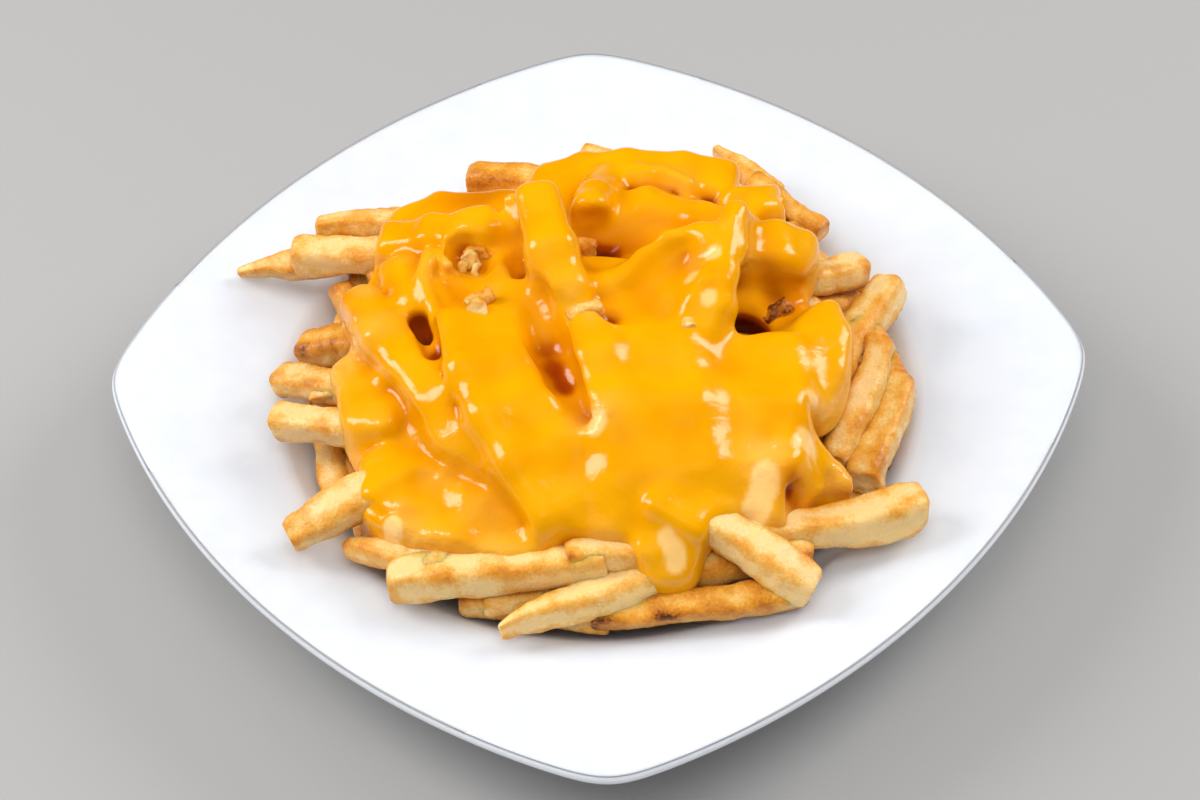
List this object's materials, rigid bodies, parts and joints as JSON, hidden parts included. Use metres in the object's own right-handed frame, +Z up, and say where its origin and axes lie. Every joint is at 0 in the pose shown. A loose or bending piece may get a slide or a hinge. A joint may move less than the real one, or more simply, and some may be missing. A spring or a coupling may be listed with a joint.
{
  "type": "cheese fries",
  "caption": "Heap of golden chips under a lumpy blanket of glossy melted cheese sauce, served in the round well of a square plate with bowed sides.",
  "frame": {"origin": "on the resting surface, under the middle of the plate", "axes": "+Z up; +X to the right and +Y away from the viewer of the picture, each through a corner of the plate"},
  "size_m": [0.2766, 0.2766, 0.0827],
  "materials": {
    "plate_white": "gloss white glaze",
    "fried_potato": "crisp battered crust",
    "cheese_sauce": "glossy melted cheese"
  },
  "bodies": {
    "root": {"plate": "plate_white", "fries": "fried_potato", "cheese_sauce": "cheese_sauce"}
  },
  "joints": []
}
